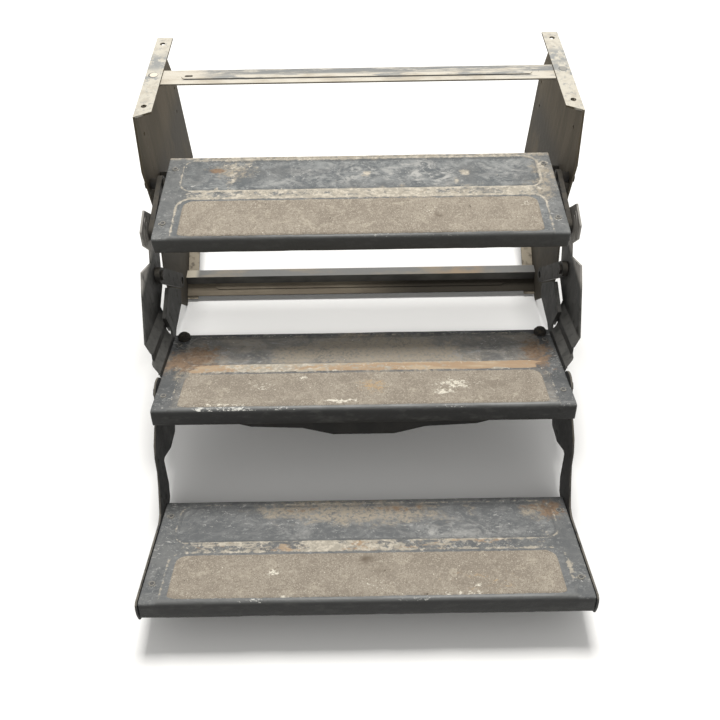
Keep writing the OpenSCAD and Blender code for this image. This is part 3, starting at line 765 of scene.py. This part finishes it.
# spots are (centre x, centre a, half length, half depth, strength) in a tread's own metres;
# the pairs of lists are places along X and the strength at each
treadMarks = {
    "top": {
        "outline": 0.66, "band": 0.57, "rings": 0.4, "heelDust": 0.42, "bandRust": 0.0, "groove": 0.6,
        "bandAlong": (
            [-0.28, -0.24, -0.215, -0.18, -0.1, 0.0, 0.1, 0.14, 0.17, 0.22, 0.28],
            [0.6, 0.8, 0.5, 0.8, 0.85, 1.05, 1.0, 0.8, 0.55, 0.7, 0.6],
        ),
        "rustAlong": ([-0.3, 0.3], [0.0, 0.0]),
        "dust": [
            (-0.19, 0.175, 0.03, 0.012, 0.42), (-0.2, 0.14, 0.008, 0.03, 0.42),
            (0.15, 0.128, 0.007, 0.007, 0.5), (0.01, 0.15, 0.01, 0.007, 0.6),
            (0.288, 0.155, 0.01, 0.03, 0.35), (0.268, 0.104, 0.03, 0.01, 0.35),
            (0.165, 0.148, 0.009, 0.01, 0.5), (-0.222, 0.117, 0.004, 0.004, 0.8),
        ],
        "film": [
            (0.12, 0.1, 0.2, 0.02, 0.5), (0.0, 0.194, 0.3, 0.006, 0.8), (0.288, 0.14, 0.02, 0.05, 0.5),
            (-0.2, 0.16, 0.04, 0.02, 0.5),
        ],
        "rust": [(-0.226, 0.163, 0.01, 0.004, 1.8)],
        "swirl": [
            (-0.1, 0.145, 0.05, 0.03, 0.6), (-0.01, 0.15, 0.04, 0.03, 0.9), (0.09, 0.15, 0.055, 0.035, 1.0),
            (0.125, 0.145, 0.022, 0.022, 1.0), (0.2, 0.155, 0.03, 0.02, 0.6),
            (0.25, 0.15, 0.02, 0.025, 0.8), (-0.24, 0.13, 0.03, 0.02, 0.5),
        ],
        "dark": [
            (-0.14, 0.16, 0.05, 0.02, 1.0), (0.02, 0.125, 0.05, 0.008, 1.0), (0.17, 0.15, 0.02, 0.03, 0.9),
            (0.26, 0.13, 0.02, 0.02, 0.8), (-0.26, 0.15, 0.02, 0.03, 0.8), (-0.295, 0.1, 0.02, 0.06, 0.5),
        ],
        "chips": [(0.03, 0, 0.05, 1, 0.15), (0.12, 0, 0.03, 1, 0.15)],
        "glint": ([-0.28, -0.12, -0.05, 0.1, 0.2, 0.28], [0.3, 0.4, 0.8, 0.9, 0.7, 0.6]),
    },
    "middle": {
        "outline": 0.25, "band": 0.42, "rings": 0.15, "heelDust": 0.1, "bandRust": 1.0, "groove": 0.5,
        "bandAlong": ([-0.28, -0.22, -0.19, -0.12, -0.06, 0.0, 0.25], [0.2, 0.6, 1.1, 1.1, 0.6, 0.4, 0.3]),
        "rustAlong": ([-0.29, -0.24, -0.1, 0.0, 0.25, 0.29], [0.4, 0.65, 0.8, 0.95, 0.95, 0.7]),
        "dust": [
            (0.05, 0.1, 0.05, 0.003, 0.3), (-0.06, 0.108, 0.08, 0.003, 0.3),
            (-0.14, 0.094, 0.03, 0.002, 0.4),
        ],
        "film": [
            (0.02, 0.145, 0.095, 0.045, 1.05), (-0.11, 0.13, 0.028, 0.03, 0.95),
            (0.11, 0.12, 0.05, 0.035, 0.9), (-0.26, 0.11, 0.05, 0.03, 0.8),
        ],
        "rust": [
            (-0.255, 0.14, 0.034, 0.024, 0.75), (-0.285, 0.115, 0.028, 0.024, 0.6),
            (-0.24, 0.105, 0.03, 0.012, 0.5), (0.272, 0.13, 0.022, 0.044, 0.75),
        ],
        "swirl": [
            (-0.18, 0.13, 0.05, 0.03, 0.6), (-0.06, 0.12, 0.04, 0.02, 0.6), (0.17, 0.13, 0.06, 0.03, 0.5),
        ],
        "dark": [
            (-0.17, 0.135, 0.04, 0.018, 0.8), (-0.06, 0.13, 0.03, 0.018, 0.7), (0.2, 0.14, 0.04, 0.03, 0.8),
            (-0.29, 0.06, 0.03, 0.02, 0.7), (0.29, 0.07, 0.03, 0.02, 0.9),
        ],
        "chips": [
            (-0.19, 0, 0.035, 1, 0.42), (-0.235, 0, 0.01, 1, 0.45), (-0.12, 0, 0.02, 1, 0.3),
            (0.12, 0, 0.03, 1, 0.2),
        ],
        "glint": ([-0.28, -0.22, -0.15, 0.25, 0.28], [0.1, 0.5, 0.9, 1.0, 0.4]),
    },
    "bottom": {
        "outline": 0.36, "band": 0.38, "rings": 0.3, "heelDust": 0.05, "bandRust": 0.5, "groove": 0.6,
        "bandAlong": (
            [-0.28, -0.25, -0.19, -0.15, -0.12, -0.09, -0.06, -0.02, 0.02, 0.08, 0.12, 0.25],
            [0.3, 0.7, 0.8, 0.9, 0.5, 1.0, 1.7, 1.2, 1.0, 0.6, 0.8, 0.4],
        ),
        "rustAlong": ([-0.3, -0.1, 0.0, 0.1, 0.3], [0.1, 0.7, 1.0, 0.6, 0.1]),
        "dust": [
            (-0.065, 0.104, 0.018, 0.004, 0.4), (0.03, 0.101, 0.04, 0.003, 0.3),
            (-0.2, 0.106, 0.05, 0.0016, 0.45), (0.265, 0.125, 0.012, 0.012, 0.3),
            (0.283, 0.055, 0.005, 0.02, 0.4),
        ],
        "film": [
            (0.0, 0.17, 0.125, 0.024, 0.85), (-0.1, 0.175, 0.05, 0.015, 0.6),
            (0.26, 0.168, 0.03, 0.02, 0.6),
        ],
        "rust": [
            (0.282, 0.168, 0.018, 0.02, 0.75), (0.25, 0.178, 0.016, 0.008, 0.5),
            (0.05, 0.178, 0.05, 0.008, 0.35), (-0.1, 0.178, 0.03, 0.006, 0.3),
        ],
        "swirl": [
            (-0.1, 0.13, 0.06, 0.02, 0.5), (0.14, 0.13, 0.08, 0.03, 0.6), (0.1, 0.125, 0.008, 0.006, 0.9),
        ],
        "dark": [
            (-0.24, 0.15, 0.04, 0.02, 0.8), (-0.12, 0.12, 0.08, 0.012, 0.6), (0.18, 0.165, 0.05, 0.02, 0.6),
            (0.29, 0.1, 0.02, 0.05, 0.8),
        ],
        "chips": [(-0.15, 0, 0.02, 1, 0.3), (0.07, 0, 0.03, 1, 0.25)],
        "glint": ([-0.28, -0.15, -0.05, 0.0, 0.26, 0.28], [0.0, 0.1, 0.5, 0.8, 0.8, 0.2]),
    },
}

gripMarks = {
    "top": {
        "chalk": [
            (-0.04, 0.06, 0.02, 0.01, 0.2), (0.1, 0.055, 0.03, 0.02, 0.2), (0.25, 0.07, 0.01, 0.01, 0.35),
        ],
        "stain": [(0.118, 0.047, 0.007, 0.006, 1.3)],
        "warm": [(0, 0.05, 0.01, 0.01, 0.0)],
    },
    "middle": {
        "chalk": [
            (-0.034, 0.018, 0.028, 0.006, 0.5), (0.137, 0.055, 0.034, 0.014, 0.45),
            (0.118, 0.035, 0.016, 0.007, 0.5), (-0.15, 0.055, 0.03, 0.012, 0.3),
            (-0.09, 0.075, 0.01, 0.005, 0.5), (-0.2, 0.013, 0.05, 0.003, 0.4),
        ],
        "stain": [(0.2, 0.05, 0.06, 0.03, 0.2)],
        "warm": [(0.015, 0.055, 0.024, 0.018, 0.7)],
    },
    "bottom": {
        "chalk": [
            (-0.13, 0.052, 0.01, 0.006, 0.55), (0.13, 0.012, 0.04, 0.004, 0.35),
            (-0.11, 0.01, 0.01, 0.004, 0.5), (0.02, 0.03, 0.05, 0.02, 0.18),
            (0.15, 0.025, 0.01, 0.006, 0.45),
        ],
        "stain": [(0.0, 0.074, 0.01, 0.008, 1.1), (0.02, 0.055, 0.02, 0.01, 0.4)],
        "warm": [(0.16, 0.03, 0.09, 0.03, 0.2)],
    },
}

rivetColours = {"head": (74, 74, 73), "rim": (150, 146, 137)}


def rivetFinish(c):
    f = Finish("rivetSteel", c["head"], rough=0.5, gloss=0.5)
    f.coat(c["rim"], f.both(f.marked("rim"), f.cloud(0.004, 0.26, 0.46, detail=4.0)), rough=0.8)
    f.relief(f.cloud(0.001, 0.3, 0.7), 0.0001)
    return f.mat


rivetMat = rivetFinish(rivetColours)
treadPlaces = treadGrid(tread)

for index, (which, step) in enumerate(steps.items()):
    shift = (index * 7.3, index * 2.1, 4.0)
    body = which + "_step"
    paint = treadPaint(which + "TreadPaint", treadColours, treadColours[which], shift)
    pan = pressTread(which + "TreadSkin", step, tread, treadPlaces)
    markTread(pan, step, tread, treadPlaces, treadMarks[which])
    dress(pan, body, "tread_paint", paint, which + "_tread")
    ends = treadEnds(which + "TreadEnds", step, tread)
    ends.data.materials.append(paint)
    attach(ends, body)
    pad = gripPad(which + "GritSkin", step, tread, gripMarks[which])
    dress(pad, body, "grit", gritSurface(which + "Grit", gritColours, shift), which + "_grip_strip")
    heads = rivetHeads(which + "RivetHeads", step, tread)
    dress(heads, body, "rivet_steel", rivetMat, which + "_tread_rivets")
print("treads pressed, strips laid, rivets set")


# finishes of the pieces whose shape is carried over

plateColours = {
    "steel": (96, 87, 72), "band": (78, 71, 57), "streak": (84, 77, 64), "speck": (104, 98, 87),
    # low and foot are painted shade towards the bottom of the plates
    "low": (70, 66, 59), "foot": (66, 62, 55), "dot": (170, 160, 142),
    "lowDust": (176, 166, 148), "lowStain": (128, 120, 108),
    "dust": (198, 193, 180), "dustShade": (184, 178, 165),
    "worn": (144, 145, 143), "wornSpeck": (158, 157, 153),
    "plugs": (  # in the flanges: X place, radius, ring and middle
        (-0.328, 0.0065, (112, 112, 110), (222, 213, 196)),
        (0.328, 0.0055, (120, 120, 117), (150, 148, 142)),
    ),
}


def plateFinish(c):
    # dusty steel with painted shade that darkens it downwards, with pale dust and worn patches on what faces
    # up
    f = Finish("dustyPlate", c["steel"], rough=0.8, gloss=0.2)
    f.coat(c["band"], f.cloud(0.045, 0.36, 0.66, (1, 1.2, 0.14), detail=2.0))
    f.coat(c["streak"], f.cloud(0.014, 0.44, 0.78, (1, 1.2, 0.10), (4, 2, 1), 4.0))
    f.coat(c["speck"], f.both(f.flecks(0.006, 0.22, 0.2, (1, 1, 0.5)), f.cloud(0.05, 0.4, 0.6)))
    # painted shade, darker towards the bottom of the plates and again at the feet
    f.coat(c["low"], f.both(f.along(2, 0.33, 0.26), f.cloud(0.05, 0.25, 0.55, (1, 1, 0.5))))
    f.coat(c["foot"], f.both(f.along(2, 0.16, 0.10), f.cloud(0.04, 0.2, 0.6)))
    f.coat(c["dot"], f.flecks(0.035, 0.10, 0.05))
    top = f.facing(2, 0.55, 0.8)
    lower = f.both(top, f.along(2, 0.25, 0.20))
    f.coat(c["lowDust"], lower, rough=0.9)
    f.coat(c["lowStain"], f.both(lower, f.cloud(0.012, 0.48, 0.66, detail=7.0)))
    upper = f.both(top, f.along(2, 0.40, 0.415))
    f.coat(c["dust"], upper, rough=0.85)
    f.coat(c["dustShade"], f.both(upper, f.cloud(0.012, 0.46, 0.64, detail=7.0)))
    ahead = f.both(f.between(1, 0.262, 0.300, 0.004), f.cloud(0.02, 0.50, 0.56))
    worn = f.either(f.between(1, 0.300, 0.345, 0.012), ahead)
    worn = f.both(worn, f.cloud(0.014, 0.42, 0.52, shift=(2, 5, 1), detail=9.0, broken=0.75))
    f.coat(c["worn"], f.both(upper, worn), rough=0.6)
    f.coat(c["wornSpeck"], f.both(upper, f.cloud(0.009, 0.52, 0.60, detail=9.0, broken=0.85)), rough=0.8)
    for x, radius, ring, middle in c["plugs"]:
        f.coat(ring, f.both(upper, f.disc(x, 0.2835, radius + 0.0016)), rough=0.6)
        f.coat(middle, f.both(upper, f.disc(x + 0.0008, 0.2845, radius)), rough=0.85)
    f.relief(f.cloud(0.012, 0.2, 0.8, detail=7.0), 0.0003)
    return f.mat


strapColours = {
    "cream": (205, 199, 186), "shade": (186, 178, 163), "bareBack": (130, 131, 130),
    # line is painted shade along the bead's edges; beadEdges gives its Y places
    "bareMiddle": (146, 146, 143), "line": (92, 92, 90), "speck": (120, 108, 90), "side": (104, 98, 88),
    "beadEdges": ((0.2720, 0.2738), (0.2894, 0.2908)),  # Y places of the dark lines beside the bead
}


def strapFinish(c):
    # cream dust, rubbed off along the back and the middle, with painted shade lines beside the bead
    f = Finish("creamStrap", c["cream"], rough=0.9, gloss=0.15)
    f.coat(c["shade"], f.cloud(0.02, 0.42, 0.66, (0.4, 1, 1), detail=7.0))
    bare = f.cloud(0.035, 0.36, 0.50, (0.3, 1.5, 1), (1, 3, 2), 8.0, 0.7)
    back = f.both(f.between(1, 0.2835, 0.3022, 0.003), bare)
    f.coat(c["bareBack"], f.both(back, f.along(0, -0.27, -0.24)), rough=0.6)
    bare = f.cloud(0.028, 0.49, 0.58, (0.3, 1.6, 1), (6, 3, 2), 8.0, 0.7)
    middle = f.both(f.between(1, 0.268, 0.2835, 0.002), bare)
    f.coat(c["bareMiddle"], f.both(middle, f.along(0, -0.26, -0.22)), rough=0.6)
    # painted shade along both edges of the bead
    for low, high in c["beadEdges"]:
        length = f.both(f.along(0, -0.284, -0.278), f.along(0, 0.280, 0.274))
        line = f.both(f.between(1, low, high), length)
        f.coat(c["line"], f.both(line, f.cloud(0.03, 0.30, 0.45, (0.3, 1, 1), (2, 9, 4))), rough=0.7)
    f.coat(c["speck"], f.flecks(0.010, 0.10, 0.10), rough=0.9)
    f.coat(c["side"], f.facing(2, 0.3, -0.2), rough=0.8)
    f.relief(f.cloud(0.004, 0.3, 0.7, detail=6.0), 0.0004)
    return f.mat


# dark: painted shadow over the right part of the strap
lowStrapColours = {
    "steel": (138, 129, 113), "shade": (120, 111, 97), "bead": (150, 140, 122),
    "dark": (58, 54, 47), "side": (44, 41, 36),
}


def lowStrapFinish(c):
    f = Finish("lowStrapSteel", c["steel"], rough=0.85, gloss=0.2)
    f.coat(c["shade"], f.cloud(0.03, 0.40, 0.64, (0.25, 1, 1), detail=5.0))
    length = f.both(f.along(0, -0.300, -0.290), f.along(0, 0.29, 0.28))
    f.coat(c["bead"], f.both(f.between(1, 0.2145, 0.2170), length))
    # painted shadow over the right part of the strap, broken by a cloud
    f.coat(c["dark"], f.both(f.along(0, -0.08, 0.12), f.cloud(0.1, 0.1, 0.4, (0.4, 1, 1))))
    f.coat(c["side"], f.facing(2, 0.5, 0.1))
    f.relief(f.cloud(0.006, 0.3, 0.7, detail=6.0), 0.0003)
    return f.mat


# base, lighter patches and dust of each dark finish, with the two tones that they share
darkColours = {
    "links": ((48, 47, 44), (60, 58, 54), (82, 78, 71)),
    "rearLinks": ((58, 54, 48), (70, 66, 59), (104, 97, 86)),
    "arms": ((48, 48, 47), (62, 62, 61), (104, 100, 92)),
    # the stiffener's near-black is painted shade under the middle tread
    "stiffener": ((30, 30, 29), (38, 37, 35), (74, 70, 62)),
    "risers": ((52, 52, 50), (66, 66, 64), (86, 85, 82)),
    "stain": (36, 34, 31),
    "speck": (124, 115, 100),
    "riserTopHighlight": (146, 143, 138),
}


def darkFinish(name, c, own):
    base, lift, dusty = c[own]
    f = Finish(name, base, rough=0.68, gloss=0.3)
    f.coat(lift, f.cloud(0.03, 0.42, 0.70, (1, 1, 0.5)), rough=0.6)
    f.coat(c["stain"], f.cloud(0.014, 0.56, 0.72, shift=(3, 3, 3)), rough=0.8)
    f.coat(dusty, f.both(f.facing(2, 0.30, 0.90), f.cloud(0.012, 0.28, 0.56, detail=7.0)), rough=0.9)
    f.coat(c["speck"], f.flecks(0.02, 0.05, 0.06))
    f.relief(f.cloud(0.008, 0.2, 0.8, detail=7.0), 0.0003)
    return f


def riserFinish(c):
    f = darkFinish("riserSteel", c, "risers")
    # painted highlight on the risers' upper parts, broken by a cloud
    f.coat(c["riserTopHighlight"], f.both(f.along(2, 0.255, 0.268), f.cloud(0.018, 0.22, 0.5, detail=6.0)))
    return f.mat


crossBarColours = {
    "steel": (76, 75, 71), "shade": (58, 57, 54), "top": (120, 120, 118), "dust": (140, 134, 123),
    "warm": (152, 136, 116), "pale": (196, 188, 171),
}


def crossBarFinish(c):
    # grey on top with dust, a warm patch to the right and pale dust at the left end
    f = Finish("crossBarSteel", c["steel"], rough=0.65, gloss=0.3)
    f.coat(c["shade"], f.cloud(0.03, 0.4, 0.65, (0.5, 1, 1)))
    top = f.facing(2, 0.4, 0.8)
    f.coat(c["top"], top, rough=0.7)
    f.coat(c["dust"], f.both(top, f.cloud(0.03, 0.44, 0.62, (0.35, 1, 1), detail=7.0)), rough=0.9)
    place = f.both(f.along(0, 0.10, 0.18), f.along(0, 0.25, 0.215))
    warm = f.both(place, f.cloud(0.02, 0.3, 0.6, (0.4, 1, 1), detail=7.0))
    f.coat(c["warm"], f.both(top, warm), rough=0.9)
    f.coat(c["pale"], f.both(top, f.along(0, -0.310, -0.322)), rough=0.9)
    f.relief(f.cloud(0.01, 0.2, 0.8, detail=7.0), 0.0004)
    return f.mat


boltColours = {"steel": (42, 40, 38), "dirt": (58, 53, 46), "dust": (62, 58, 52)}


def boltFinish(c):
    f = Finish("boltSteel", c["steel"], rough=0.6, metal=0.1, gloss=0.4)
    f.coat(c["dirt"], f.cloud(0.006, 0.45, 0.65), rough=0.85)
    f.coat(c["dust"], f.both(f.facing(2, 0.5, 1.0), f.cloud(0.005, 0.3, 0.6)), rough=0.9)
    f.relief(f.cloud(0.003, 0.2, 0.8), 0.0002)
    return f.mat


rubberColours = {"black": (44, 42, 40), "dirt": (70, 65, 57)}


def rubberFinish(c):
    f = Finish("bumperRubber", c["black"], rough=0.85, gloss=0.3)
    f.coat(c["dirt"], f.cloud(0.006, 0.44, 0.64), rough=0.95)
    f.relief(f.cloud(0.003, 0.2, 0.8), 0.0004)
    return f.mat


# edge rounding in metres, and what counts as an edge or a flat
softening = {
    "plate": 0.0009, "strap": 0.0006, "bar": 0.0008, "bolt": 0.0005, "link": 0.0022, "arm": 0.0006,
    "bumper": 0.0018,
    "segments": 2, "edgeAngle": 28, "flatArea": 0.00015, "flatCorners": 7,
}


def softened(node, kind, v):
    # a copy of a CAD node, its doubles merged and flat triangles joined, with its edges rounded;
    # a large face or one with many corners is a flat, shaded flat
    mesh = cadNodes[node].data.copy()
    piece = bpy.data.objects.new(node + "_soft", mesh)
    bpy.context.scene.collection.objects.link(piece)
    work = bmesh.new()
    work.from_mesh(mesh)
    bmesh.ops.remove_doubles(work, verts=work.verts, dist=0.00002)
    bmesh.ops.dissolve_limit(work, angle_limit=math.radians(1.5), verts=work.verts, edges=work.edges)
    work.to_mesh(mesh)
    work.free()
    curved = [face.area < v["flatArea"] and face.loop_total < v["flatCorners"] for face in mesh.polygons]
    mesh.polygons.foreach_set("use_smooth", curved)
    edges = piece.modifiers.new("edges", "BEVEL")
    edges.width = v[kind]
    edges.segments = v["segments"]
    edges.limit_method = "ANGLE"
    edges.angle_limit = math.radians(v["edgeAngle"])
    piece.modifiers.new("flats", "WEIGHTED_NORMAL")
    return piece


finishes = {
    "plate": plateFinish(plateColours),
    "strap": strapFinish(strapColours),
    "lowStrap": lowStrapFinish(lowStrapColours),
    "crossBar": crossBarFinish(crossBarColours),
    "bolt": boltFinish(boltColours),
    "rubber": rubberFinish(rubberColours),
    "link": darkFinish("linkSteel", darkColours, "links").mat,
    "rearLink": darkFinish("rearLinkSteel", darkColours, "rearLinks").mat,
    "arm": darkFinish("armPaint", darkColours, "arms").mat,
    "stiffener": darkFinish("stiffenerSteel", darkColours, "stiffener").mat,
    "riser": riserFinish(darkColours),
}

# body, slot, finish, kind of edge, then the nodes
carriedOver = [
    ("housing", "housing_steel", "plate", "plate", ("left_side_plate", "right_side_plate")),
    ("housing", "dusty_steel", "strap", "strap", ("top_back_strap",)),
    ("housing", "dark_steel", "lowStrap", "strap", ("lower_back_strap",)),
    ("housing", "dark_steel", "crossBar", "bar", ("lower_cross_bar",)),
    ("housing", "bolt_steel", "bolt", "bolt", ("link_anchor_bolts", "control_anchor_bolts")),
    ("front_links", "arm_paint", "link", "link", ("left_front_link", "right_front_link")),
    ("rear_links", "arm_paint", "rearLink", "link", ("left_rear_link", "right_rear_link")),
    ("top_step", "arm_paint", "riser", "arm", ("left_tread_bracket", "right_tread_bracket")),
    ("top_step", "bolt_steel", "bolt", "bolt", ("top_pivot_bolts",)),
    ("middle_step", "arm_paint", "riser", "arm", ("left_riser_plate", "right_riser_plate")),
    ("middle_step", "arm_paint", "riser", "arm", ("left_heel_gusset", "right_heel_gusset")),
    ("middle_step", "arm_paint", "stiffener", "arm", ("middle_stiffener",)),
    ("middle_step", "bumper_rubber", "rubber", "bumper", ("heel_bumpers",)),
    ("middle_step", "bolt_steel", "bolt", "bolt", ("control_link_bolts", "arm_pivot_bolts")),
    ("control_links", "arm_paint", "link", "link", ("left_control_link", "right_control_link")),
    ("bottom_step", "arm_paint", "arm", "arm", ("left_bottom_arm", "right_bottom_arm")),
]

for body, slot, finish, kind, nodes in carriedOver:
    for node in nodes:
        dress(softened(node, kind, softening), body, slot, finishes[finish], node)
print("plates, links, straps and bolts dressed")
